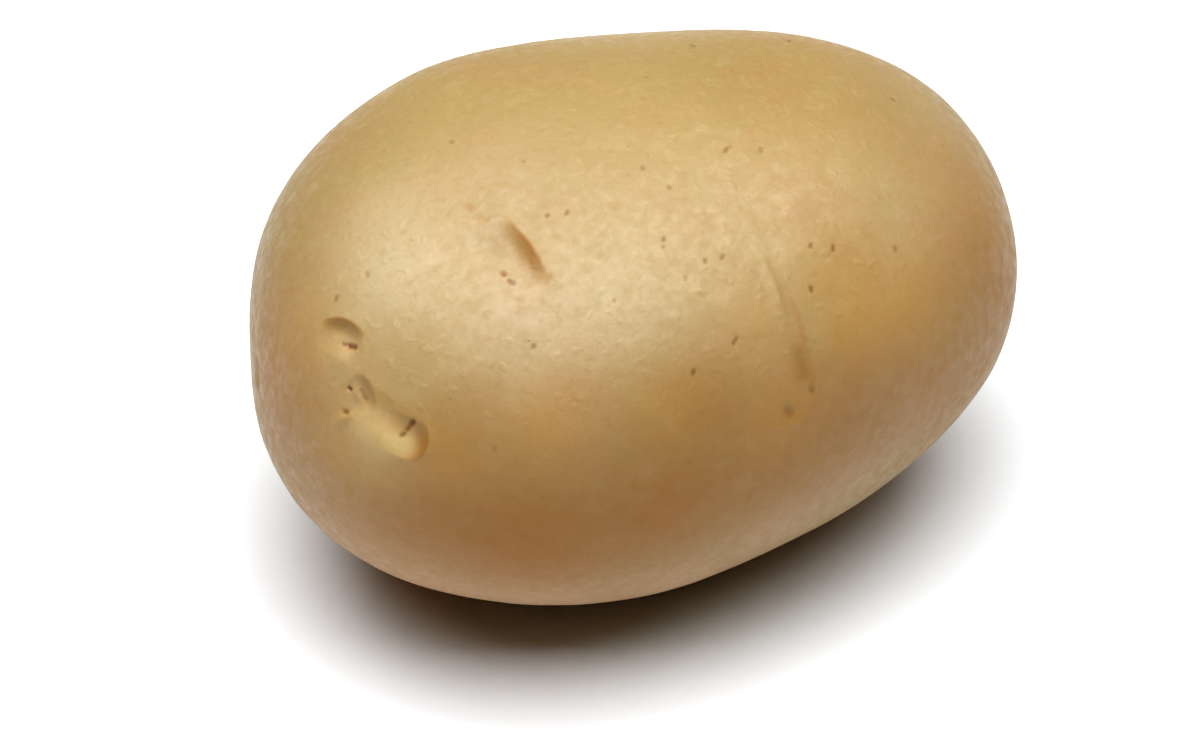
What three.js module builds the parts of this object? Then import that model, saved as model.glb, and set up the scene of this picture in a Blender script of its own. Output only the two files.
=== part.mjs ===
// A whole, unpeeled potato lying on its flattest side: one grown piece, so one closed mesh.
// Millimetres. +X runs along the tuber from the rose end, where the eyes crowd, to the stem end, and +Z is up.
// The origin is on the surface that the tuber rests on, under the middle of its box.
import * as THREE from "three";

// Driving dimensions: the plain tuber that every swell, flat and eye is laid on.
const HALF_LENGTH = 50;
const HALF_WIDTH = 38;
const HALF_THICKNESS = 32;
const FULLNESS = 2.2; // power of the superellipsoid: 2 is an egg, and more is fuller at the shoulders
const WIDTH_TAPER = -0.03; // share of the width lost from the middle to the stem end
const REST_CUT = 1.2; // height of the cap that its own weight and the soil flattened off the underside
const REST_ROUNDING = 0.6; // how high above the flat the underside takes to turn back into its curve

// Places on the tuber are two angles. `along` is the angle from the middle towards the stem end.
// `around` turns about the length from the +Y side: 90 is the top, 180 the -Y side and 270 the underside.

// Broad bulges (+) and flats (-): height in millimetres, spread in degrees.
const SWELLS = [
  { along: 80, around: 155, spread: 24, height: -1.1 },
  { along: 75, around: 85, spread: 24, height: 3.3 },
  { along: 60, around: 55, spread: 24, height: 1.1 },
  { along: 30, around: 45, spread: 24, height: -0.5 },
  { along: -15, around: 35, spread: 24, height: 2.3 },
  { along: -8, around: 40, spread: 13, height: -0.5 },
  { along: -50, around: 25, spread: 24, height: 1 },
  { along: -70, around: 15, spread: 24, height: -1.7 },
  { along: -80, around: 335, spread: 24, height: -2.2 },
  { along: -80, around: 290, spread: 13, height: 0.6 },
  { along: -75, around: 265, spread: 24, height: 0.5 },
  { along: -60, around: 235, spread: 24, height: -1.2 },
  { along: -47, around: 220, spread: 13, height: -0.4 },
  { along: -30, around: 225, spread: 24, height: -1.1 },
  { along: 15, around: 215, spread: 24, height: -1.3 },
  { along: 50, around: 205, spread: 24, height: -1.4 },
  { along: 70, around: 195, spread: 24, height: 3.5 },
  { along: 20, around: 325, spread: 30, height: -1.2 },
  { along: -20, around: 300, spread: 22, height: 0.9 },
];

// An eye is a brow, the scar of a scale leaf on the stem-end side, and the hollow that slopes down to its foot.
// brow: half the brow's length. depth: of the hollow at the brow's foot. reach: length of the slope that leads to it.
// turn: degrees that the brow is swung from square to the length.
const EYES = [
  { along: -31, around: 117.5, brow: 6, depth: 1, reach: 3.6, turn: 7 },
  { along: -62.5, around: 114.5, brow: 3.8, depth: 1.1, reach: 3, turn: 36 },
  { along: -60.5, around: 136.5, brow: 3, depth: 0.9, reach: 3, turn: 5 },
  { along: -57, around: 144, brow: 5.4, depth: 0.9, reach: 3.4, turn: 40 },
  { along: -53, around: 151.5, brow: 3.2, depth: 1.1, reach: 3.4, turn: -4 },
  { along: 15, around: 149, brow: 10.5, depth: 0.5, reach: 3.4, turn: 5 },
  { along: -82.5, around: 34, brow: 3.2, depth: 0.9, reach: 2.6, turn: 0 },
  { along: -76, around: 235, brow: 4, depth: 0.7, reach: 3, turn: 0 },
  { along: -48, around: 350, brow: 5.5, depth: 1.1, reach: 3.4, turn: -5 },
  { along: -22, around: 20, brow: 6, depth: 0.9, reach: 3.6, turn: 6 },
  { along: -33, around: 258, brow: 5, depth: 0.8, reach: 3.2, turn: 4 },
  { along: 6, around: 318, brow: 6.5, depth: 0.9, reach: 3.8, turn: -4 },
  { along: 27, around: 240, brow: 6, depth: 0.7, reach: 3.6, turn: 5 },
  { along: 30, around: 15, brow: 6.5, depth: 0.8, reach: 3.8, turn: 0 },
  { along: 56, around: 300, brow: 5.5, depth: 0.6, reach: 3.2, turn: 7 },
];
const BROW_WALL = 1.1; // width of the step from the foot of a brow to its lip
const BROW_BOW = 0.22; // how far a brow's ends curve back to the rose end, as a share of its half-length
const LIP_HEIGHT = 0.22; // share of the depth that the lip stands proud
const LIP_WIDTH = 1.3;

// The scar where the underground stem broke off, at the stem end.
const STEM_SCAR = { along: 84, around: 330, radius: 3.2, depth: 1.3, rim: 0.4 };

// Mesh: edges of the even part, and of the skin round an eye.
const SPHERE_DETAIL = 15;
const EYE_EDGE = 1.05;
const REFINING_PASSES = 3;

const smoothstep = THREE.MathUtils.smoothstep;
const bell = (x) => Math.exp(-x * x);

function directionAt({ along, around }) {
  const a = THREE.MathUtils.degToRad(along);
  const r = THREE.MathUtils.degToRad(around);
  return new THREE.Vector3(Math.sin(a), Math.cos(a) * Math.cos(r), Math.cos(a) * Math.sin(r));
}

// The superellipsoid's radius in a direction.
function eggRadius(d) {
  const sum =
    Math.abs(d.x / HALF_LENGTH) ** FULLNESS +
    Math.abs(d.y / HALF_WIDTH) ** FULLNESS +
    Math.abs(d.z / HALF_THICKNESS) ** FULLNESS;
  return sum ** (-1 / FULLNESS);
}

const swells = SWELLS.map((swell) => ({
  centre: directionAt(swell),
  sharpness: 2 / THREE.MathUtils.degToRad(swell.spread) ** 2,
  height: swell.height,
}));

// The plain tuber's surface in a direction, before its eyes.
function bodyPoint(d) {
  let radius = eggRadius(d);
  for (const { centre, sharpness, height } of swells) {
    radius += height * Math.exp(sharpness * (d.dot(centre) - 1));
  }
  const point = d.clone().multiplyScalar(radius);
  point.y *= 1 + (WIDTH_TAPER * point.x) / HALF_LENGTH;
  return point;
}

// A frame on the surface: `heel` points along it to the stem end, `side` across, and `out` away from it.
function surfaceFrame(place) {
  const nudge = 0.02;
  const d = directionAt(place);
  const across = new THREE.Vector3(-d.y, d.x, 0).lengthSq() > 1e-4
    ? new THREE.Vector3(-d.y, d.x, 0).normalize()
    : new THREE.Vector3(1, 0, 0);
  const up = new THREE.Vector3().crossVectors(d, across);
  const origin = bodyPoint(d);
  const step = (v) => bodyPoint(d.clone().addScaledVector(v, nudge).normalize()).sub(origin);
  const out = new THREE.Vector3().crossVectors(step(across), step(up)).normalize();
  const heel = new THREE.Vector3(1, 0, 0).addScaledVector(out, -out.x).normalize();
  heel.applyAxisAngle(out, THREE.MathUtils.degToRad(place.turn ?? 0));
  const side = new THREE.Vector3().crossVectors(out, heel);
  return { origin, heel, side, out };
}

// Height of an eye's relief, u towards the stem end and v along the brow.
function eyeRelief({ brow, depth, reach }, u, v) {
  const ends = Math.max(0, 1 - (v / brow) ** 2);
  const pastBrow = u + BROW_BOW * brow * (v / brow) ** 2;
  const slope = pastBrow < 0 ? bell(pastBrow / reach) : 1;
  const wall = 1 - smoothstep(pastBrow, 0, BROW_WALL);
  const lip = LIP_HEIGHT * bell((pastBrow - BROW_WALL) / LIP_WIDTH);
  return depth * ends * (lip - slope * wall);
}

function scarRelief({ radius, depth, rim }, u, v) {
  const r = Math.hypot(u, v) / radius;
  return -depth * bell(r * 1.2) + rim * bell((r - 1.4) / 0.5);
}

// Everything small that is cut into or raised on the plain tuber.
const marks = [
  ...EYES.map((eye) => ({
    frame: surfaceFrame(eye),
    relief: (u, v) => eyeRelief(eye, u, v),
    size: Math.max(eye.brow, eye.reach),
  })),
  {
    frame: surfaceFrame(STEM_SCAR),
    relief: (u, v) => scarRelief(STEM_SCAR, u, v),
    size: 2 * STEM_SCAR.radius,
  },
];

function tuberPoint(d) {
  const point = bodyPoint(d);
  const raised = point.clone();
  for (const { frame, relief, size } of marks) {
    const offset = point.clone().sub(frame.origin);
    if (offset.length() > 3 * size) continue;
    raised.addScaledVector(frame.out, relief(offset.dot(frame.heel), offset.dot(frame.side)));
  }
  return raised;
}

// Splits every edge that is too long for where it lies, and keeps the mesh closed.
function refine({ directions, faces }, tooLong) {
  const middles = new Map();
  const middleOf = (a, b) => {
    const key = a < b ? `${a}/${b}` : `${b}/${a}`;
    if (!middles.has(key)) {
      let made = -1;
      if (tooLong(directions[a], directions[b])) {
        made = directions.length;
        directions.push(directions[a].clone().add(directions[b]).normalize());
      }
      middles.set(key, made);
    }
    return middles.get(key);
  };
  const made = [];
  for (const face of faces) {
    const cut = face.map((corner, i) => middleOf(corner, face[(i + 1) % 3]));
    const count = cut.filter((m) => m >= 0).length;
    if (count === 3) {
      made.push([face[0], cut[0], cut[2]], [face[1], cut[1], cut[0]], [face[2], cut[2], cut[1]], cut);
    } else if (count === 2) {
      const kept = cut.indexOf(-1); // the whole edge runs from `from` to `to`
      const [from, to, apex] = [face[kept], face[(kept + 1) % 3], face[(kept + 2) % 3]];
      const [beyond, before] = [cut[(kept + 1) % 3], cut[(kept + 2) % 3]];
      made.push([from, to, beyond], [from, beyond, before], [before, beyond, apex]);
    } else if (count === 1) {
      const split = cut.findIndex((m) => m >= 0);
      const [from, to, apex] = [face[split], face[(split + 1) % 3], face[(split + 2) % 3]];
      made.push([from, cut[split], apex], [cut[split], to, apex]);
    } else {
      made.push(face);
    }
  }
  return { directions, faces: made };
}

// An even sphere of directions, stretched so that its triangles stay even on the tuber.
function sphereOfDirections() {
  const position = new THREE.IcosahedronGeometry(1, SPHERE_DETAIL).getAttribute("position");
  const found = new Map();
  const directions = [];
  const faces = [];
  for (let i = 0; i < position.count; i++) {
    const corner = new THREE.Vector3().fromBufferAttribute(position, i);
    const key = corner.toArray().map((x) => Math.round(x * 1e5)).join();
    if (!found.has(key)) {
      found.set(key, directions.length);
      corner.multiply(new THREE.Vector3(HALF_LENGTH, HALF_WIDTH, HALF_THICKNESS));
      directions.push(corner.normalize());
    }
    if (i % 3 === 0) faces.push([]);
    faces.at(-1).push(found.get(key));
  }
  return { directions, faces };
}

function tooLongNearMark(a, b) {
  const from = bodyPoint(a);
  const to = bodyPoint(b);
  const middle = from.clone().add(to).divideScalar(2);
  const near = marks.some(({ frame, size }) => middle.distanceTo(frame.origin) < size);
  return near && from.distanceTo(to) > EYE_EDGE * Math.SQRT2;
}

// Brings what hangs under the resting plane up to it, with a rounded edge.
function flattenUnderside(points) {
  const plane = Math.min(...points.map((p) => p.z)) + REST_CUT;
  for (const p of points) {
    const height = (p.z - plane) / REST_ROUNDING;
    if (height < -1) p.z = plane;
    else if (height < 1) p.z = plane + (REST_ROUNDING * (height + 1) ** 2) / 4;
  }
}

function tuberGeometry() {
  let sphere = sphereOfDirections();
  for (let pass = 0; pass < REFINING_PASSES; pass++) sphere = refine(sphere, tooLongNearMark);
  const points = sphere.directions.map(tuberPoint);
  flattenUnderside(points);
  const geometry = new THREE.BufferGeometry().setFromPoints(points);
  geometry.setIndex(sphere.faces.flat());
  geometry.computeBoundingBox();
  const { min, max } = geometry.boundingBox;
  geometry.translate(-(min.x + max.x) / 2, -(min.y + max.y) / 2, -min.z);
  geometry.computeVertexNormals();
  return geometry;
}

// Washed yellow-fleshed skin: matt cork with a faint waxy gloss.
const skin = new THREE.MeshStandardMaterial({ color: 0xc6a05e, roughness: 0.55, metalness: 0 });

const potato = new THREE.Mesh(tuberGeometry(), skin);
potato.name = "potato";

const part = new THREE.Group();
part.add(potato);
export default part;
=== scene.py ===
import math
import random
import bmesh
import bpy
import numpy as np
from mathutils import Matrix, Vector, noise


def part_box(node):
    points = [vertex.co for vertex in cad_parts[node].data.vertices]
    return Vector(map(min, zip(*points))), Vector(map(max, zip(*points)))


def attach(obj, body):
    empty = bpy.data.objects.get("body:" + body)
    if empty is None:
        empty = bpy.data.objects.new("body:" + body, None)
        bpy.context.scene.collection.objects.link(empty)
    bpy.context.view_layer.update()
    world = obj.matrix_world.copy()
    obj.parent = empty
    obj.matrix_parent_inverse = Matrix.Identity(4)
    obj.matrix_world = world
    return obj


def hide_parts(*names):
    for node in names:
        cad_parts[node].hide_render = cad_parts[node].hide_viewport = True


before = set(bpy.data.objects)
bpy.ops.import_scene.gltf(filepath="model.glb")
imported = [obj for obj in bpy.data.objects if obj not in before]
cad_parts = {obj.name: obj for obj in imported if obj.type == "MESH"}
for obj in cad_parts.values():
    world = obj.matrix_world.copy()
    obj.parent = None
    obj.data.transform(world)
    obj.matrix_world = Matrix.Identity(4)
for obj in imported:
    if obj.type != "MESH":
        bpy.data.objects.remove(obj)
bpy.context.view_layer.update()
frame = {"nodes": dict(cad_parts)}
print("frame loaded:", ", ".join(frame["nodes"]))

mm = 0.001  # shapes are worked out in millimetres, and Blender's objects are in metres


def linear(hexColour):
    # sRGB hex to the linear RGBA that the shaders take
    parts = [int(hexColour[i:i + 2], 16) / 255 for i in (1, 3, 5)]
    return [c / 12.92 if c <= 0.04045 else ((c + 0.055) / 1.055) ** 2.4 for c in parts] + [1.0]


def addNode(tree, kind, settings):
    # a setting is one of the node's options or an input, by its name or its number, and a socket given
    # for an input is linked to it
    node = tree.nodes.new(kind)
    for name, value in settings.items():
        if isinstance(value, bpy.types.NodeSocket):
            tree.links.new(value, node.inputs[name])
        elif isinstance(name, int) or name in node.inputs:
            node.inputs[name].default_value = value
        else:
            setattr(node, name, value)
    return node


# The same plain tuber as in the source of the solid, in mm. A place on it is two angles: "along" from the
# middle towards the stem end, and "around" its length, from +Y (0) over the top (90) to -Y (180) and on.
tuber = {
    "halfSize": (50, 38, 32),  # length, width and thickness
    "fullness": 2.2,           # 2 is an egg, and more is fuller at the shoulders
    "widthTaper": -0.03,       # share of the width lost towards the stem end
    "restCut": 1.2,            # height of the cap that is flattened off the underside
    "restRounding": 0.6,       # above and below the cut, where the skin rounds into it
    "swells": [                # along, around, spread in degrees, height in mm
        (80, 155, 24, -1.1), (75, 85, 24, 3.3), (60, 55, 24, 1.1), (30, 45, 24, -0.5), (-15, 35, 24, 2.3),
        (-8, 40, 13, -0.5), (-50, 25, 24, 1), (-70, 15, 24, -1.7), (-80, 335, 24, -2.2),
        (-80, 290, 13, 0.6), (-75, 265, 24, 0.5), (-60, 235, 24, -1.2), (-47, 220, 13, -0.4),
        (-30, 225, 24, -1.1), (15, 215, 24, -1.3), (50, 205, 24, -1.4), (70, 195, 24, 3.5),
        (20, 325, 30, -1.2), (-20, 300, 22, 0.9),
    ],
    "waves": [(17, 0.16), (6.5, 0.06), (2.6, 0.018)],  # the skin's low waves: size and height in mm
    "waveShift": (31.7, 4.1, 9.3),  # where in the noise the waves are taken from
}


def directionAt(along, around):
    along, around = math.radians(along), math.radians(around)
    girth = math.cos(along)
    return np.array([math.sin(along), girth * math.cos(around), girth * math.sin(around)])


def spotAt(directions, along, around, spread):
    # 1 in the middle of a round spot on the skin, and fading away over its spread in degrees
    sharpness = 2 / math.radians(spread) ** 2
    return np.exp(sharpness * (directions @ directionAt(along, around) - 1))


def bodyPoints(directions):
    # the plain tuber's surface in each direction, before its eyes
    halfSize = np.array(tuber["halfSize"], float)
    power = tuber["fullness"]
    radius = (np.abs(directions / halfSize) ** power).sum(1) ** (-1 / power)
    for along, around, spread, height in tuber["swells"]:
        radius += height * spotAt(directions, along, around, spread)
    points = directions * radius[:, None]
    points[:, 1] *= 1 + tuber["widthTaper"] * points[:, 0] / halfSize[0]
    return points


def bodyNormals(directions):
    # from the slope between close neighbours on the plain tuber
    nudge = 0.01
    slanting = [0.31, 0.52, 0.79]  # no vertex lies in this direction
    across = np.cross(directions, slanting)
    across /= np.linalg.norm(across, axis=1)[:, None]
    up = np.cross(directions, across)
    slopes = []
    for side in (across, up):
        near = directions + nudge * side
        slopes.append(bodyPoints(near / np.linalg.norm(near, axis=1)[:, None]) - bodyPoints(directions))
    normals = np.cross(slopes[0], slopes[1])
    return normals / np.linalg.norm(normals, axis=1)[:, None]


class Patch:
    # a spot on the skin with its own axes: heel points to the stem end, side across, and out off the skin
    def __init__(self, along, around, turn=0):
        direction = directionAt(along, around)[None]
        self.origin = bodyPoints(direction)[0]
        self.out = bodyNormals(direction)[0]
        heel = np.array([1.0, 0, 0]) - self.out * self.out[0]
        heel /= np.linalg.norm(heel)
        side = np.cross(self.out, heel)
        angle = math.radians(turn)
        self.heel = heel * math.cos(angle) + side * math.sin(angle)
        self.side = np.cross(self.out, self.heel)

    def near(self, points, reach):
        # numbers of the points within reach, and where they lie along heel and side
        offset = points - self.origin
        found = np.flatnonzero((offset ** 2).sum(1) < reach ** 2)
        return found, offset[found] @ self.heel, offset[found] @ self.side


def smoothstep(low, high, x):
    t = np.clip((x - low) / (high - low), 0, 1)
    return t * t * (3 - 2 * t)


def bell(x):
    return np.exp(-x ** 2)


bellEnd = 3  # a bell has died away at this many times its size


# Each eye: its place and turn, the mesh's edges there, and the brow, which is the scar of a scale leaf.
# "brow" is half its length, "depth" that of the hollow at its foot, "reach" the slope down to it, "wall"
# the width of the step up to the lip and "bow" how far its ends curve back. "stain" is painted shade on
# the wall.
# marks: scratches, bud tips, pits and some painted light and shade, as (u, v, u, v, half width, depth,
# colour, strength), end to end.
# pads: soft swellings, as (u, v, size along u, size along +v, size along -v, height).
# u points to the stem end and v across it, both turned by "turn". All in mm.
eyes = {
    "crownEye": {
        "at": (-32.3, 117.5), "edge": 0.2, "turn": 7,
        "brow": 5.8, "depth": 0.85, "reach": 5.0, "wall": 2.3, "bow": 0.12, "stain": 0.7,
        "marks": [(-0.8, 3.0, -0.8, -2.5, 1.6, 0, "lenticel", 0.1),
                  (-2.4, -1.0, -2.4, -1.3, 0.36, 0.14, "bud", 0.85),
                  (-2.3, -2.5, -2.1, -2.9, 0.34, 0.14, "bud", 0.8),
                  (-2.7, -5.2, -2.7, -5.4, 0.4, 0.03, "bud", 0.25),
                  (-0.9, 7.4, -0.5, 6.4, 0.3, 0.08, "brow", 0.7),
                  (-1.2, 10, -1.2, 8.9, 0.25, 0.05, "brow", 0.6),
                  (1.2, -5.2, 2.3, -4.6, 0.35, 0.04, "brow", 0.5),
                  (-0.9, -9.6, -0.6, -10.8, 0.2, 0.05, "lenticel", 0.5)],
        "pads": [(-2.4, -1.9, 1.0, 1.3, 1.3, 0.26), (-5.5, -1, 2.2, 3.5, 3.5, 0.12)],
    },
    "upperRoseEye": {
        "at": (-63, 114.8), "edge": 0.2, "turn": 36,
        "brow": 3.6, "depth": 0.55, "reach": 3.4, "wall": 1.5, "bow": 0.28, "stain": 0.8,
        "marks": [(-1.4, -0.6, -1.4, -1.6, 0.26, 0.14, "bud", 0.5),
                  (-1.4, -1.7, -1.3, -2.7, 0.34, 0.2, "bud", 0.85)],
        "pads": [(-3.2, -1.0, 1.6, 1.6, 1.6, 0.4)],
    },
    "middleRoseEye": {
        "at": (-61.6, 136.8), "edge": 0.2, "turn": 5,
        "brow": 2.4, "depth": 0.34, "reach": 2.6, "wall": 1.2, "bow": 0.25, "stain": 0.5,
        "marks": [(-1.8, 1.5, -1.7, 1.3, 0.28, 0.2, "bud", 1),
                  (-0.5, 0.3, -0.4, -0.7, 0.38, 0.1, "bud", 0.38),
                  (0.9, 0.8, 1.0, -0.2, 0.5, 0, "brow", 0.5),
                  (-3.7, -0.7, -3.4, -0.9, 0.28, 0.15, "bud", 0.85)],
        "pads": [(-1.1, 0.2, 0.7, 0.9, 0.9, 0.2), (-4.8, -1.3, 1.5, 0.6, 0.6, 0.35)],
    },
    "roseFold": {
        "at": (-59.5, 144.5), "edge": 0.25, "turn": 41,
        "brow": 5.0, "depth": 0.1, "reach": 2.6, "wall": 2.4, "bow": 0.02, "stain": 0.2,
        "marks": [],
        "pads": [],
    },
    "lowerRoseEye": {
        "at": (-55, 152.6), "edge": 0.2, "turn": -30,
        "brow": 2.5, "depth": 0.6, "reach": 3.0, "wall": 1.7, "bow": 0.34, "stain": 0.75,
        "marks": [(-0.8, 2.0, -0.9, 1.8, 0.36, 0.22, "bud", 1),
                  (-1.0, 1.5, -1.2, 0.9, 0.32, 0.14, "bud", 0.75),
                  (-1.4, 0.3, -1.6, 0.0, 0.3, 0.12, "bud", 0.7),
                  # these two: painted light on the swelling below the buds
                  (-3.0, -1.3, -0.9, -0.9, 1.5, 0, "paintedBudLight", 0.65),
                  (-6.5, -0.9, -3.6, -2.0, 2.4, 0, "paintedBudLight", 0.45)],
        "pads": [(-3.4, -1.5, 3.8, 2.8, 3.2, 0.95)],
    },
    "tipEye": {
        "at": (-82.5, 36), "edge": 0.25, "turn": 70,
        "brow": 3.2, "depth": 0.2, "reach": 2.6, "wall": 1.1, "bow": 0.1, "stain": 0,
        "marks": [(-0.2, -1.8, -0.2, 1.8, 0.2, 0.12, "bud", 0.5)],
        "pads": [],
    },
    "sideCrease": {
        "at": (15, 150.4), "edge": 0.3, "turn": 2,
        "brow": 9.8, "depth": 0.27, "reach": 2.6, "wall": 0.8, "bow": 0.05, "stain": 0.3,
        # its first mark is painted shade in the hollow beside the crease
        "marks": [(-0.6, -2.4, -0.9, -5.0, 1.1, 0.06, "brow", 0.42),
                  (-0.2, -2.6, -0.4, -5.2, 0.6, 0, "lenticel", 0.16),
                  (0.1, -7.0, 0.1, -7.3, 0.3, 0.1, "lenticel", 0.5),
                  (-3.6, -8.6, -3.2, -9.0, 0.6, 0.2, "lenticel", 0.45)],
        "pads": [(-3.2, -10.6, 0.9, 0.8, 0.8, 0.18), (-1.0, 5.5, 0.7, 4.2, 3.6, 0.3)],
    },
    "frontTipEye": {
        "at": (-76, 235), "edge": 0.38, "turn": 0,
        "brow": 4, "depth": 0.25, "reach": 3, "wall": 1, "bow": 0.22, "stain": 0.1,
        "marks": [(-1.6, 0.4, -1.5, -0.4, 0.35, 0.05, "bud", 0.2)],
        "pads": [(-1.6, 0, 1, 1, 1, 0.05)],
    },
    "backTipEye": {
        "at": (-48, 350), "edge": 0.38, "turn": -5,
        "brow": 5.5, "depth": 1.1, "reach": 3.6, "wall": 1.4, "bow": 0.2, "stain": 0.85,
        "marks": [(-2, 0.7, -1.9, 0.1, 0.35, 0.2, "bud", 0.9),
                  (-1.8, -1, -1.7, -1.5, 0.3, 0.2, "bud", 0.8)],
        "pads": [(-1.9, -0.2, 1.1, 1.4, 1.4, 0.25)],
    },
    "backCrownEye": {
        "at": (-22, 20), "edge": 0.38, "turn": 6,
        "brow": 6, "depth": 0.9, "reach": 4, "wall": 1.4, "bow": 0.16, "stain": 0.75,
        "marks": [(-2.4, 0.3, -2.3, -0.3, 0.4, 0.2, "bud", 0.85)],
        "pads": [(-2.3, 0, 1.1, 1.2, 1.2, 0.22)],
    },
    "underTipEye": {
        "at": (-33, 258), "edge": 0.38, "turn": 4,
        "brow": 5, "depth": 0.8, "reach": 3.4, "wall": 1.2, "bow": 0.2, "stain": 0.7,
        "marks": [(-2, 0.5, -1.9, 0, 0.35, 0.2, "bud", 0.8)],
        "pads": [(-1.9, 0.2, 1, 1, 1, 0.2)],
    },
    "underBackEye": {
        "at": (6, 318), "edge": 0.38, "turn": -4,
        "brow": 6.5, "depth": 0.9, "reach": 4, "wall": 1.5, "bow": 0.16, "stain": 0.75,
        "marks": [(-2.4, 0.9, -2.3, 0.4, 0.35, 0.2, "bud", 0.85),
                  (-2.3, -0.8, -2.2, -1.3, 0.3, 0.2, "bud", 0.7)],
        "pads": [(-2.3, -0.1, 1.1, 1.5, 1.5, 0.22)],
    },
    "underHeelEye": {
        "at": (27, 240), "edge": 0.38, "turn": 5,
        "brow": 6, "depth": 0.7, "reach": 3.8, "wall": 1.4, "bow": 0.14, "stain": 0.6,
        "marks": [(-2.2, 0.2, -2.1, -0.3, 0.35, 0.15, "bud", 0.75)],
        "pads": [(-2.1, 0, 1, 1.1, 1.1, 0.18)],
    },
    "backHeelEye": {
        "at": (30, 15), "edge": 0.38, "turn": 0,
        "brow": 6.5, "depth": 0.8, "reach": 4, "wall": 1.5, "bow": 0.12, "stain": 0.65,
        "marks": [(-2.3, 0.4, -2.2, -0.1, 0.35, 0.18, "bud", 0.8)],
        "pads": [(-2.2, 0.2, 1, 1.2, 1.2, 0.2)],
    },
    "heelEye": {
        "at": (56, 300), "edge": 0.38, "turn": 7,
        "brow": 5.5, "depth": 0.6, "reach": 3.4, "wall": 1.3, "bow": 0.14, "stain": 0.55,
        "marks": [(-1.9, 0, -1.8, -0.4, 0.3, 0.15, "bud", 0.7)],
        "pads": [(-1.9, -0.2, 0.9, 1, 1, 0.15)],
    },
}

# what all brows share
brow = {
    "lipHeight": 0.16,       # of the lip over the wall, as a share of the depth
    "lipWidth": 1.1,         # mm
    "wallPower": 1.7,        # 1 is a straight wall, and more is steeper under the lip
    "shadePower": 0.6,       # below 1, the painted shade holds its strength nearly to the brow's ends
    "shadeStart": -0.5,      # where the painted shade starts, as a share of the wall
    "shadePastLip": 0.35,    # mm, where it has gone
    "markFade": (0.1, 1.8),  # shares of a mark's half width, where its stain starts to fade and has gone
}

# the scar where the underground stem broke off: mm, and distances from its middle in radii
stemScar = {
    "at": (84, 330), "edge": 0.4, "radius": 3.2, "finePatch": 1.9,
    "pitDepth": 1.3, "pitNarrowing": 1.2, "rimHeight": 0.4, "rimAt": 1.4, "rimWidth": 0.5,
    "cork": 0.8, "corkFade": (0.25, 0.9), "brown": 0.7, "brownFade": (0.6, 1.4),
}

spotMarks = ("brow", "bud", "scar", "lenticel")  # the colours of the eyes' marks, the scar and the lenticels; "brow" also carries the brows' painted shade


def placeOnBrow(eye, u, v):
    # how far out towards the brow's ends, from 0 to 1, and how far past its foot
    outward = np.clip(v / eye["brow"], -1, 1) ** 2
    return outward, u + eye["bow"] * eye["brow"] * outward


def browHeight(eye, u, v):
    outward, pastFoot = placeOnBrow(eye, u, v)
    slope = np.where(pastFoot < 0, bell(pastFoot / eye["reach"]), 1)
    wall = 1 - np.clip(pastFoot / eye["wall"], 0, 1) ** brow["wallPower"]
    lip = brow["lipHeight"] * bell((pastFoot - eye["wall"]) / brow["lipWidth"])
    return eye["depth"] * (1 - outward) * (lip - slope * wall)


def browPaintedShade(eye, u, v):
    # painted shade: darkest under the lip in the middle of the brow
    outward, pastFoot = placeOnBrow(eye, u, v)
    return (
        eye["stain"] * (1 - outward) ** brow["shadePower"]
        * smoothstep(brow["shadeStart"] * eye["wall"], eye["wall"], pastFoot)
        * (1 - smoothstep(eye["wall"], eye["wall"] + brow["shadePastLip"], pastFoot))
    )


def distanceToMark(mark, u, v):
    # from each point to the short line that the mark follows
    startU, startV, endU, endV = mark[:4]
    runU, runV = endU - startU, endV - startV
    lengthSquared = runU ** 2 + runV ** 2 + 1e-9  # never 0, even for a round dot
    t = np.clip(((u - startU) * runU + (v - startV) * runV) / lengthSquared, 0, 1)
    return np.hypot(u - startU - t * runU, v - startV - t * runV)


def padHeight(pad, u, v):
    centreU, centreV, sizeU, sizeUp, sizeDown, height = pad
    across = v - centreV
    return height * bell((u - centreU) / sizeU) * bell(across / np.where(across > 0, sizeUp, sizeDown))


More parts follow.
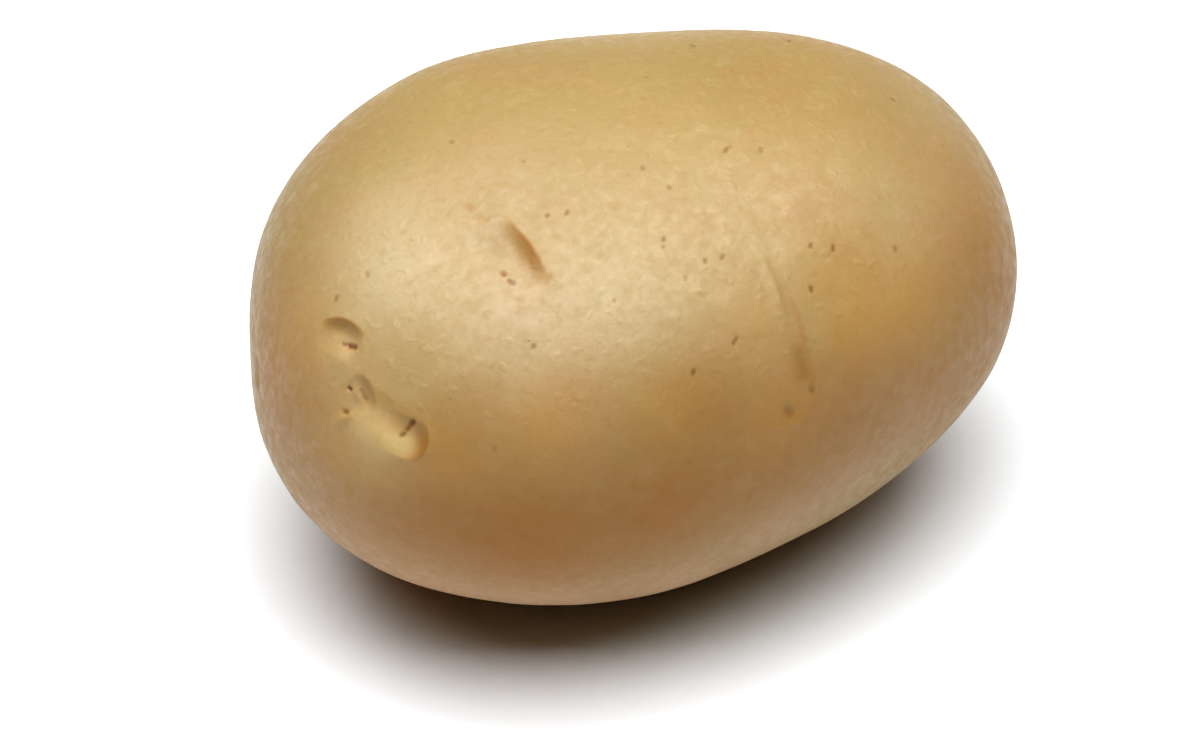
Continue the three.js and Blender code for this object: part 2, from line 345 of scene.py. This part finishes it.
# the skin's breathing pores, drawn as short dark specks
lenticels = {
    # along, around, length, half width and strength
    "placed": [
        (-24, 111, 0.2, 0.28, 0.75), (-20.3, 112, 0.4, 0.26, 0.8), (-4.3, 125, 0.3, 0.26, 0.75),
        (1.9, 131.8, 0.2, 0.27, 0.7), (5.7, 132, 0.4, 0.28, 0.65), (23.8, 135, 0.3, 0.27, 0.7),
        (27.9, 136.8, 0.5, 0.26, 0.75), (20.3, 143.2, 0.3, 0.31, 0.8), (2.3, 148, 0.8, 0.22, 0.7),
        (-7.2, 151.2, 0.4, 0.27, 0.75), (-1.1, 107, 0.2, 0.28, 0.6), (2, 113.8, 0.2, 0.28, 0.6),
        (18, 108, 0.7, 0.26, 0.75), (25, 110, 0.6, 0.3, 0.45), (-33.8, 138, 0.2, 0.3, 0.6),
        (-56, 103, 0.4, 0.32, 0.35), (-62, 103, 0.3, 0.32, 0.5), (-5, 126.5, 0.2, 0.2, 0.5),
        (39.8, 141, 0.2, 0.34, 0.5), (28, 66, 0.5, 0.3, 0.5), (13, 78, 0.2, 0.25, 0.3),
        (-18, 134, 0.2, 0.22, 0.5), (-3.2, 134, 0.3, 0.24, 0.4), (-32, 78, 0.3, 0.26, 0.45),
        (-23, 94, 0.2, 0.24, 0.4), (-43, 157, 0.2, 0.3, 0.25),
    ],
    "scattered": 70,           # more of them over the back and the underside
    "apart": 5,                # mm, least gap between two
    "seed": 11,
    "lengths": (0.1, 0.7),     # mm
    "halfWidths": (0.2, 0.34),
    "strengths": (0.35, 0.85),
    "placedSide": (-20, 135),  # the middle of the side that the placed ones cover
    "placedCosine": 0.15,      # how near to it, as a cosine, a scattered one may come
    "endsCosine": 0.98,        # keeps them off the very ends
    "depth": 0.06,             # mm
    "fade": (0.2, 1.7),        # shares of the half width, where the stain starts to fade and has gone
    "firstLean": 35,           # degrees: each one leans a step further than the last, and starts again
    "leanStep": 13,
    "leanRange": 50,
    "edge": 0.25,              # mm, of the mesh there
    "finePatch": 0.9,          # mm, radius of the finer mesh
}


def scatterLenticels():
    chooser = random.Random(lenticels["seed"])
    placedSide = directionAt(*lenticels["placedSide"])
    endsCosine = lenticels["endsCosine"]
    kept = []
    spots = [bodyPoints(directionAt(*place[:2])[None])[0] for place in lenticels["placed"]]
    while len(kept) < lenticels["scattered"]:
        along = math.degrees(math.asin(chooser.uniform(-endsCosine, endsCosine)))
        around = chooser.uniform(0, 360)
        halfWidth = chooser.uniform(*lenticels["halfWidths"])
        length = chooser.uniform(*lenticels["lengths"])
        strength = chooser.uniform(*lenticels["strengths"])
        direction = directionAt(along, around)
        spot = bodyPoints(direction[None])[0]
        clear = all(np.linalg.norm(spot - other) > lenticels["apart"] for other in spots)
        if clear and direction @ placedSide < lenticels["placedCosine"]:
            spots.append(spot)
            kept.append((along, around, length, halfWidth, strength))
    return kept


def lenticelPatches(specks):
    patches = []
    for number, (along, around, *_) in enumerate(specks):
        lean = lenticels["firstLean"] + lenticels["leanStep"] * number % lenticels["leanRange"]
        patches.append(Patch(along, around, lean))
    return patches


# Broad patches of colour on the skin, each a stain or a painted light or shade: along, around, spread in
# degrees and strength.
stainsAndPaintedLight = {
    "soilAndPaintedShade": [  # golden brown: soil on the underside, and painted shade on the front flank and in a few places on top
        (-55, 262, 24, 0.9), (-22, 258, 28, 0.9), (12, 256, 30, 0.9), (46, 262, 24, 0.8),
        (-54, 176, 14, 0.6), (-38, 181, 14, 0.9), (-34, 188, 9, 0.35), (-46, 191, 9, 0.35),
        (-16, 178, 14, 0.85), (4, 177, 14, 0.6), (22, 172, 14, 0.5), (-47, 147, 8, 0.12),
        (28, 140, 9, 0.25), (-74, 68, 10, 0.3), (40, 166, 13, 0.35), (-83, 120, 12, 0.5),
        (-70, 150, 12, 0.25), (60, 145, 16, 0.2), (15, 5, 18, 0.3), (-62, 192, 11, 0.5),
        (-8, 158, 11, 0.3), (-28, 151, 8, 0.25), (42, 178, 10, 0.35), (52, 187, 10, 0.4),
        (68, 176, 12, 0.4), (60, 162, 10, 0.4), (38, 92, 20, 0.12),
    ],
    "paintedBounceLight": [  # pinkish: mostly painted bounce light from the floor, along the lower edges
        (-66, 214, 13, 0.5), (-50, 212, 12, 0.65), (-34, 212, 13, 1), (-12, 207, 12, 0.8),
        (8, 196, 11, 0.5), (26, 191, 10, 0.3), (42, 185, 10, 0.15), (66, 120, 14, 0.2),
        (-45, 320, 25, 0.4), (55, 340, 22, 0.4),
    ],
    "paintedTopShade": [  # olive: painted shade that dims the crown and the top
        (-22, 112, 22, 0.4), (-12, 76, 28, 0.5), (28, 86, 22, 0.7), (62, 95, 13, 0.4),
        (-46, 62, 20, 0.35), (6, 118, 12, 0.2), (-34, 110, 7, 0.45), (54, 104, 12, 0.45),
        (10, 40, 25, 0.4), (-5, 330, 25, 0.3),
    ],
    "paintedHighlight": [  # paler: mostly painted highlight on the crown, and painted light on the lower front and the bulge of the lower rose eye
        (-36, 98, 13, 0.1), (-24, 93, 14, 0.1), (-50, 86, 9, 0.3), (-36, 132, 12, 0.3),
        (-16, 137, 14, 0.3), (-70, 100, 9, 0.25), (-66, 141, 7, 0.4), (-54, 162, 5, 0.3),
        (34, 154, 10, 0.35), (-34, 154, 7, 0.15), (-53, 106, 10, 0.6), (-31, 147, 9, 0.35),
        (-65, 153, 8, 0.2), (45, 140, 13, 0.25), (-60, 162, 6, 0.6), (-76, 166, 8, 0.3),
        (-46, 164, 9, 0.25), (-27, 157, 9, 0.25), (10, 150, 12, 0.15), (61, 86, 9, 0.15),
        (65, 104, 8, 0.2), (20, 40, 18, 0.4), (-20, 270, 18, 0.4),
    ],
    "paintedFlankLight": [  # golden: painted light on the front flank below the crown, where it falls into shade
        (-34, 155, 9, 0.35), (-14, 158, 9, 0.25), (8, 147, 9, 0.2), (8, 165, 9, 0.35), (27, 153, 9, 0.35),
        (40, 154, 10, 0.35), (-50, 158, 6, 0.3), (-60, 158, 5, 0.35), (-68, 154, 7, 0.35),
        (-70, 100, 8, 0.2),
    ],
    "paintedBudLight": [  # pale: painted light on the swellings round the buds of the rose end
        (-62, 152, 6, 0.25), (-65, 124, 5, 0.15),
    ],
}


mesh = {
    "subdivisions": 7,  # of the icosphere that it starts from: edges of about 0.75 mm
    "passes": 3,        # of splitting, each halving the edges that are still too long
    "eyeMargin": 0.4,   # mm of finer mesh past an eye
}


def refinedDirections(patches):
    # directions that give the tuber an even mesh, split finer where a patch (centre, radius, edge) asks
    bm = bmesh.new()
    bmesh.ops.create_icosphere(bm, subdivisions=mesh["subdivisions"], radius=1)
    stretch = Vector(tuber["halfSize"])
    for vert in bm.verts:
        vert.co = (vert.co * stretch).normalized()
    for _ in range(mesh["passes"]):
        points = bodyPoints(np.array([vert.co for vert in bm.verts]))
        ends = np.array([[vert.index for vert in edge.verts] for edge in bm.edges])
        lengths = np.linalg.norm(points[ends[:, 0]] - points[ends[:, 1]], axis=1)
        middles = points[ends].mean(1)
        allowed = np.full(len(lengths), np.inf)
        for centre, radius, edgeLength in patches:
            inside = ((middles - centre) ** 2).sum(1) < radius ** 2
            allowed[inside] = np.minimum(allowed[inside], edgeLength)
        tooLong = np.flatnonzero(lengths > allowed * math.sqrt(2))  # halving brings these nearer to it
        bm.edges.ensure_lookup_table()
        bmesh.ops.subdivide_edges(bm, edges=[bm.edges[i] for i in tooLong], cuts=1, use_grid_fill=True)
        bmesh.ops.triangulate(bm, faces=[face for face in bm.faces if len(face.verts) > 3])
        for vert in bm.verts:
            vert.co.normalize()
        bm.verts.index_update()
    return bm


def wavesAt(points):
    heights = np.zeros(len(points))
    for number, (size, height) in enumerate(tuber["waves"]):
        step, across, up = tuber["waveShift"]
        shift = Vector((number * step, across, up))
        heights += height * np.array([noise.noise(Vector(p) / size + shift) for p in points])
    return heights


def flattenUnderside(points):
    # flat below the plane, and a parabola from there up to the round skin
    plane = points[:, 2].min() + tuber["restCut"]
    height = (points[:, 2] - plane) / tuber["restRounding"]
    rounded = np.where(height < -1, 0, (height + 1) ** 2 / 4)
    points[:, 2] = np.where(height < 1, plane + tuber["restRounding"] * rounded, points[:, 2])


def finePatches(eyePatches, scarPatch, speckPatches):
    # where the mesh is split finer: centre, radius and edge
    fine = []
    for name, patch in eyePatches.items():
        eye = eyes[name]
        fine.append((patch.origin, max(eye["brow"], eye["reach"]) + mesh["eyeMargin"], eye["edge"]))
    fine.append((scarPatch.origin, stemScar["finePatch"] * stemScar["radius"], stemScar["edge"]))
    for patch in speckPatches:
        fine.append((patch.origin, lenticels["finePatch"], lenticels["edge"]))
    return fine


def paintStainsAndLight(directions):
    # the strength of each stain, and of each painted light or shade, at each point
    painted = {}
    for name, places in stainsAndPaintedLight.items():
        bare = np.ones(len(directions))
        for along, around, spread, strength in places:
            bare *= 1 - strength * spotAt(directions, along, around, spread)
        painted[name] = 1 - bare
    return painted


def darken(painted, name, found, stain):
    # where two marks meet, the stronger one shows
    painted[name][found] = np.maximum(painted[name][found], stain)


def shapeEye(eye, patch, body, raised, painted):
    found, u, v = patch.near(body, bellEnd * max(eye["brow"], eye["reach"]))
    height = browHeight(eye, u, v)
    # the brow's painted shade, browner under the lip
    darken(painted, "brow", found, browPaintedShade(eye, u, v))
    for pad in eye["pads"]:
        height += padHeight(pad, u, v)
    start, end = brow["markFade"]
    for mark in eye["marks"]:
        halfWidth, depth, colour, strength = mark[4:]
        away = distanceToMark(mark, u, v)
        height -= depth * bell(away / halfWidth)
        fade = 1 - smoothstep(start * halfWidth, end * halfWidth, away)
        darken(painted, colour, found, strength * fade)
    raised[found] += patch.out * height[:, None]


def shapeStemScar(patch, body, raised, painted):
    found, u, v = patch.near(body, bellEnd * stemScar["radius"])
    r = np.hypot(u, v) / stemScar["radius"]
    rim = stemScar["rimHeight"] * bell((r - stemScar["rimAt"]) / stemScar["rimWidth"])
    pit = stemScar["pitDepth"] * bell(stemScar["pitNarrowing"] * r)
    raised[found] += patch.out * (rim - pit)[:, None]
    darken(painted, "scar", found, stemScar["cork"] * (1 - smoothstep(*stemScar["corkFade"], r)))
    darken(painted, "brow", found, stemScar["brown"] * (1 - smoothstep(*stemScar["brownFade"], r)))


def shapeLenticel(speck, patch, body, raised, painted):
    length, halfWidth, strength = speck[2:]
    found, u, v = patch.near(body, length + bellEnd * halfWidth)
    away = distanceToMark((-length / 2, 0, length / 2, 0), u, v)
    raised[found] -= patch.out * (lenticels["depth"] * bell(away / halfWidth))[:, None]
    start, end = lenticels["fade"]
    fade = 1 - smoothstep(start * halfWidth, end * halfWidth, away)
    darken(painted, "lenticel", found, strength * fade)


def placeOnSolid(points):
    # its box gets the solid's middle and lowest point
    low, high = (np.array(corner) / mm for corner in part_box("potato"))
    shift = (low + high) / 2 - (points.min(0) + points.max(0)) / 2
    shift[2] = low[2] - points[:, 2].min()
    points += shift


def skinObject(bm, points, painted):
    for vert, point in zip(bm.verts, points * mm):
        vert.co = point
    skinMesh = bpy.data.meshes.new("potatoSkin")
    bm.to_mesh(skinMesh)
    bm.free()
    skinMesh.shade_smooth()
    for name, values in painted.items():
        skinMesh.attributes.new(name, "FLOAT", "POINT").data.foreach_set("value", values)
    piece = bpy.data.objects.new("potatoSkin", skinMesh)
    bpy.context.scene.collection.objects.link(piece)
    print("tuber:", len(skinMesh.polygons), "triangles")
    return piece


def makeTuber():
    specks = lenticels["placed"] + scatterLenticels()
    eyePatches = {name: Patch(*eye["at"], eye["turn"]) for name, eye in eyes.items()}
    scarPatch = Patch(*stemScar["at"])
    speckPatches = lenticelPatches(specks)
    bm = refinedDirections(finePatches(eyePatches, scarPatch, speckPatches))
    directions = np.array([vert.co for vert in bm.verts])
    directions /= np.linalg.norm(directions, axis=1)[:, None]
    body = bodyPoints(directions)
    raised = body + bodyNormals(directions) * wavesAt(body)[:, None]
    painted = {name: np.zeros(len(body)) for name in spotMarks}
    painted.update(paintStainsAndLight(directions))
    for name, eye in eyes.items():
        shapeEye(eye, eyePatches[name], body, raised, painted)
    shapeStemScar(scarPatch, body, raised, painted)
    for speck, patch in zip(specks, speckPatches):
        shapeLenticel(speck, patch, body, raised, painted)
    flattenUnderside(raised)
    placeOnSolid(raised)
    return skinObject(bm, raised, painted)


# Washed potato periderm: thin layers of cork over yellow flesh, rubbed in the washer. It gives the eye a
# warm tan that is never even, short pale flakes where the cork has crazed, and a soft waxy gloss.
# Some of its colours are painted highlight, painted light and painted shade, as their names say.
washedSkin = {
    "gold": "#a18b60", "rose": "#a2865f", "olive": "#93804f", "pale": "#b09d78",
    "soilAndPaintedShade": "#9d6b20", "paintedBounceLight": "#bb9a7b", "paintedTopShade": "#8e7c52", "paintedHighlight": "#b4a78a",
    "paintedFlankLight": "#b88c40", "paintedBudLight": "#cbb889",
    # browWall: the brown of the brows' painted shade, given to the dark flakes too
    "browWall": "#936a2a", "budTip": "#7e5020", "scarCork": "#4c3216", "lenticel": "#7a5828",
    "ior": 1.5,
    "roughness": (0.4, 0.58),
    "roughnessOver": (0.35, 0.65),     # the values of the mottle that give the two above
    "subsurface": 0.1,
    "scatterDepth": 2.0,               # mm
    "scatterShares": (1, 0.55, 0.25),  # of that depth, for red, green and blue
    # Patterns: size in mm, detail, roughness and distortion. The curl bends what comes after it.
    "patterns": {
        "broad": (15, 3, 0.5, 0),      # how unevenly a skin ripens
        "patchy": (3.4, 4, 0.6, 0.4),  # and how unevenly it corks over
        "grain": (0.55, 2, 0.6, 0),    # cork cells: 0.1 mm, too fine to show, so drawn five times coarser
        "curl": (1.6, 1, 0.5, 0),
        "mottle": (1.6, 3, 0.6, 0),    # the net of crazed cork
    },
    "bend": 1.5,                       # mm, how far the curl bends them
    # flakes: one stroke in each cell of a pattern, with its length and width as shares of the cell
    "flakeCell": 2.3,                  # mm
    "darkCell": 0.8,                   # the dark flakes' cells, as a share of the pale ones'
    "flakeLength": 0.9,
    "flakeWidth": 0.3,
    "flakeCore": 0.02,
    "paleSeed": 3.7,
    "darkSeed": 8.1,
    "ragged": 0.5,                     # how far the patches break up the border of a stain or of painted light or shade
    "raggedStainsAndLight": ("soilAndPaintedShade", "paintedBounceLight", "paintedTopShade", "paintedHighlight"),
    # Layers of colour, each over the ones before: mask, the mask's value where the layer starts and where
    # it is full, its share, and its colour.
    "layers": [
        ("broad", 0.38, 0.64, 1, "rose"), ("patchy", 0.5, 0.75, 0.5, "olive"),
        ("patchy", 0.5, 0.28, 0.3, "pale"), ("paintedTopShade", 0, 1, 1, "paintedTopShade"),
        ("paintedHighlight", 0, 1, 1, "paintedHighlight"), ("mottle", 0.5, 0.68, 0.2, "olive"),
        ("mottle", 0.48, 0.32, 0.19, "pale"), ("paleFlakes", 0, 1, 0.1, "pale"),
        ("darkFlakes", 0, 1, 0.16, "browWall"), ("grain", 0.5, 0.75, 0.2, "olive"),
        ("soilAndPaintedShade", 0, 1, 1, "soilAndPaintedShade"), ("paintedBounceLight", 0, 1, 0.9, "paintedBounceLight"),
        ("paintedFlankLight", 0, 1, 1, "paintedFlankLight"), ("paintedBudLight", 0, 1, 1, "paintedBudLight"),
        ("brow", 0, 1, 1, "browWall"), ("lenticel", 0, 1, 1, "lenticel"),
        ("bud", 0, 1, 1, "budTip"), ("scar", 0, 1, 1, "scarCork"),
    ],
    "relief": {"patchy": 0.085, "mottle": 0.02, "grain": 0.008, "paleFlakes": 0.03},  # mm
}


def flakesAt(tree, place, cell, seed):
    # one short stroke in each cell, lying in a random direction
    width, length = washedSkin["flakeWidth"], washedSkin["flakeLength"]
    shifted = addNode(tree, "ShaderNodeVectorMath", {
        "operation": "MULTIPLY_ADD", 0: place, 1: [1 / cell] * 3, 2: [seed] * 3}).outputs[0]
    cells = addNode(tree, "ShaderNodeTexVoronoi", {"Scale": 1, "Randomness": 1, "Vector": shifted})
    fromMiddle = addNode(tree, "ShaderNodeVectorMath", {
        "operation": "SUBTRACT", 0: shifted, 1: cells.outputs["Position"]}).outputs[0]
    lean = addNode(tree, "ShaderNodeVectorMath", {
        "operation": "SUBTRACT", 0: cells.outputs["Color"], 1: [0.5] * 3}).outputs[0]
    axis = addNode(tree, "ShaderNodeVectorMath", {"operation": "NORMALIZE", 0: lean}).outputs[0]
    onAxis = addNode(tree, "ShaderNodeVectorMath", {
        "operation": "DOT_PRODUCT", 0: fromMiddle, 1: axis}).outputs["Value"]
    offAxis = addNode(tree, "ShaderNodeVectorMath", {
        "operation": "CROSS_PRODUCT", 0: fromMiddle, 1: axis}).outputs[0]
    away = addNode(tree, "ShaderNodeVectorMath", {"operation": "LENGTH", 0: offAxis}).outputs["Value"]
    reach = addNode(tree, "ShaderNodeMath", {"operation": "ABSOLUTE", 0: onAxis}).outputs[0]
    thin = addNode(tree, "ShaderNodeMapRange", {
        "interpolation_type": "SMOOTHSTEP", "Value": away, "From Min": width,
        "From Max": washedSkin["flakeCore"]}).outputs[0]
    short = addNode(tree, "ShaderNodeMapRange", {
        "interpolation_type": "SMOOTHSTEP", "Value": reach, "From Min": length / 2,
        "From Max": length / 4}).outputs[0]  # its ends taper from halfway out
    return addNode(tree, "ShaderNodeMath", {"operation": "MULTIPLY", 0: thin, 1: short}).outputs[0]


def skinMasks(tree):
    coords = addNode(tree, "ShaderNodeTexCoord", {}).outputs["Object"]
    place = addNode(tree, "ShaderNodeVectorMath", {
        "operation": "SCALE", 0: coords, "Scale": 1 / mm}).outputs[0]
    masks = {}
    for name, (size, detail, rough, distortion) in washedSkin["patterns"].items():
        pattern = addNode(tree, "ShaderNodeTexNoise", {
            "Vector": place, "Scale": 1 / size, "Detail": detail, "Roughness": rough,
            "Distortion": distortion})
        masks[name] = pattern.outputs[0]
        if name == "curl":
            place = addNode(tree, "ShaderNodeVectorMath", {
                "operation": "MULTIPLY_ADD", 0: pattern.outputs["Color"], 1: [washedSkin["bend"]] * 3,
                2: place}).outputs[0]
    cell = washedSkin["flakeCell"]
    masks["paleFlakes"] = flakesAt(tree, place, cell, washedSkin["paleSeed"])
    masks["darkFlakes"] = flakesAt(tree, place, cell * washedSkin["darkCell"], washedSkin["darkSeed"])
    for name in (*stainsAndPaintedLight, *spotMarks):
        masks[name] = addNode(tree, "ShaderNodeAttribute", {"attribute_name": name}).outputs["Fac"]
    # the patches break up these borders, of stain and of painted light and shade alike, and take as much
    # away as they add
    ragged = washedSkin["ragged"]
    for name in washedSkin["raggedStainsAndLight"]:
        shifted = addNode(tree, "ShaderNodeMath", {
            "operation": "MULTIPLY_ADD", 0: masks["patchy"], 1: ragged, 2: masks[name]}).outputs[0]
        masks[name] = addNode(tree, "ShaderNodeMapRange", {
            "Value": shifted, "From Min": ragged / 2, "From Max": 1 + ragged / 2}).outputs[0]
    return masks


def skinColour(tree, masks):
    colour = linear(washedSkin["gold"])
    for mask, start, full, share, tint in washedSkin["layers"]:
        strength = addNode(tree, "ShaderNodeMapRange", {
            "Value": masks[mask], "From Min": start, "From Max": full, "To Max": share}).outputs[0]
        # inputs 6 and 7 are the colour so far and the new one
        colour = addNode(tree, "ShaderNodeMix", {
            "data_type": "RGBA", 0: strength, 6: colour, 7: linear(washedSkin[tint])}).outputs[2]
    return colour


def skinRelief(tree, masks):
    # each bump stands on the one before
    below = {}
    for name, height in washedSkin["relief"].items():
        bump = addNode(tree, "ShaderNodeBump", {"Height": masks[name], "Distance": height * mm, **below})
        below = {"Normal": bump.outputs[0]}
    return bump.outputs[0]


def makeWashedSkin():
    material = bpy.data.materials.new("washedPotatoSkin")
    material.use_nodes = True
    tree = material.node_tree
    shader = tree.nodes["Principled BSDF"]
    shader.inputs["IOR"].default_value = washedSkin["ior"]
    shader.inputs["Subsurface Weight"].default_value = washedSkin["subsurface"]
    shader.inputs["Subsurface Scale"].default_value = washedSkin["scatterDepth"] * mm
    shader.inputs["Subsurface Radius"].default_value = washedSkin["scatterShares"]
    masks = skinMasks(tree)
    smooth, rough = washedSkin["roughness"]
    start, end = washedSkin["roughnessOver"]
    roughness = addNode(tree, "ShaderNodeMapRange", {
        "Value": masks["mottle"], "From Min": start, "From Max": end, "To Min": smooth,
        "To Max": rough}).outputs[0]
    tree.links.new(skinColour(tree, masks), shader.inputs["Base Color"])
    tree.links.new(roughness, shader.inputs["Roughness"])
    tree.links.new(skinRelief(tree, masks), shader.inputs["Normal"])
    return material


studio = {
    "floorSize": 6, "floorGap": 0.0001,             # m
    "paper": "#f0f3f6", "paperRoughness": 0.9,
    "boxSize": (0.72, 0.58), "boxHeight": 0.5,      # m
    "boxTowardsCamera": 0.012, "boxLeft": 0.015,    # m from above the origin, as the camera sees it
    "boxPower": 4.95,                               # W
    "skyColour": "#ffffff", "skyStrength": 0.004,
    "look": "High Contrast",
}

view = {
    "azimuth": -25, "elevation": 40,          # degrees: 0 looks along +Y
    "distance": 0.6, "lens": 141, "sensor": 36,
    "aimLeft": 0.0018, "aimDown": 0.007,      # m past the tuber's middle, to leave room for the shadow
    "middle": (-0.0027, -0.0002, 0.0308),     # m, of the plain egg before its swells
}


def makeFloor():
    # matt white paper: no gloss, and bright enough to lose its edge in the light
    material = bpy.data.materials.new("mattWhitePaper")
    material.use_nodes = True
    shader = material.node_tree.nodes["Principled BSDF"]
    shader.inputs["Base Color"].default_value = linear(studio["paper"])
    shader.inputs["Roughness"].default_value = studio["paperRoughness"]
    shader.inputs["Specular IOR Level"].default_value = 0
    half = studio["floorSize"] / 2
    corners = [(-half, -half, 0), (half, -half, 0), (half, half, 0), (-half, half, 0)]
    floorMesh = bpy.data.meshes.new("floor")
    floorMesh.from_pydata(corners, [], [(0, 1, 2, 3)])
    floorMesh.materials.append(material)
    floor = bpy.data.objects.new("floor", floorMesh)
    floor.location.z = -studio["floorGap"]
    bpy.context.scene.collection.objects.link(floor)


def makeSoftbox():
    softbox = bpy.data.lights.new("overheadSoftbox", "AREA")
    softbox.shape = "RECTANGLE"
    softbox.size, softbox.size_y = studio["boxSize"]
    softbox.energy = studio["boxPower"]
    lamp = bpy.data.objects.new("overheadSoftbox", softbox)
    turn = math.radians(view["azimuth"])
    towards = Vector((math.sin(turn), -math.cos(turn), 0)) * studio["boxTowardsCamera"]
    left = Vector((-math.cos(turn), -math.sin(turn), 0)) * studio["boxLeft"]
    lamp.location = towards + left + Vector((0, 0, studio["boxHeight"]))
    lamp.rotation_euler = (0, 0, turn)
    bpy.context.scene.collection.objects.link(lamp)


def makeSky():
    world = bpy.data.worlds.new("studio")
    world.use_nodes = True
    background = world.node_tree.nodes["Background"]
    background.inputs["Color"].default_value = linear(studio["skyColour"])
    background.inputs["Strength"].default_value = studio["skyStrength"]
    bpy.context.scene.world = world
    bpy.context.scene.view_settings.view_transform = "Standard"
    bpy.context.scene.view_settings.look = studio["look"]


def makeCamera():
    azimuth, elevation = math.radians(view["azimuth"]), math.radians(view["elevation"])
    back = Vector((math.sin(azimuth) * math.cos(elevation), -math.cos(azimuth) * math.cos(elevation),
                   math.sin(elevation)))
    right = Vector((math.cos(azimuth), math.sin(azimuth), 0))
    up = back.cross(right)
    middle = Vector(view["middle"])
    lens = bpy.data.cameras.new("camera")
    lens.lens = view["lens"]
    lens.sensor_width = view["sensor"]
    camera = bpy.data.objects.new("camera", lens)
    camera.location = middle + back * view["distance"]
    aim = middle - right * view["aimLeft"] - up * view["aimDown"]
    camera.rotation_euler = (aim - camera.location).to_track_quat("-Z", "Y").to_euler()
    bpy.context.scene.collection.objects.link(camera)
    bpy.context.scene.camera = camera


makeCamera()
makeFloor()
makeSoftbox()
makeSky()
print("studio ready")

potato = makeTuber()
potato.data.materials.append(makeWashedSkin())
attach(potato, "root")
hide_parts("potato")
print("skin finished")
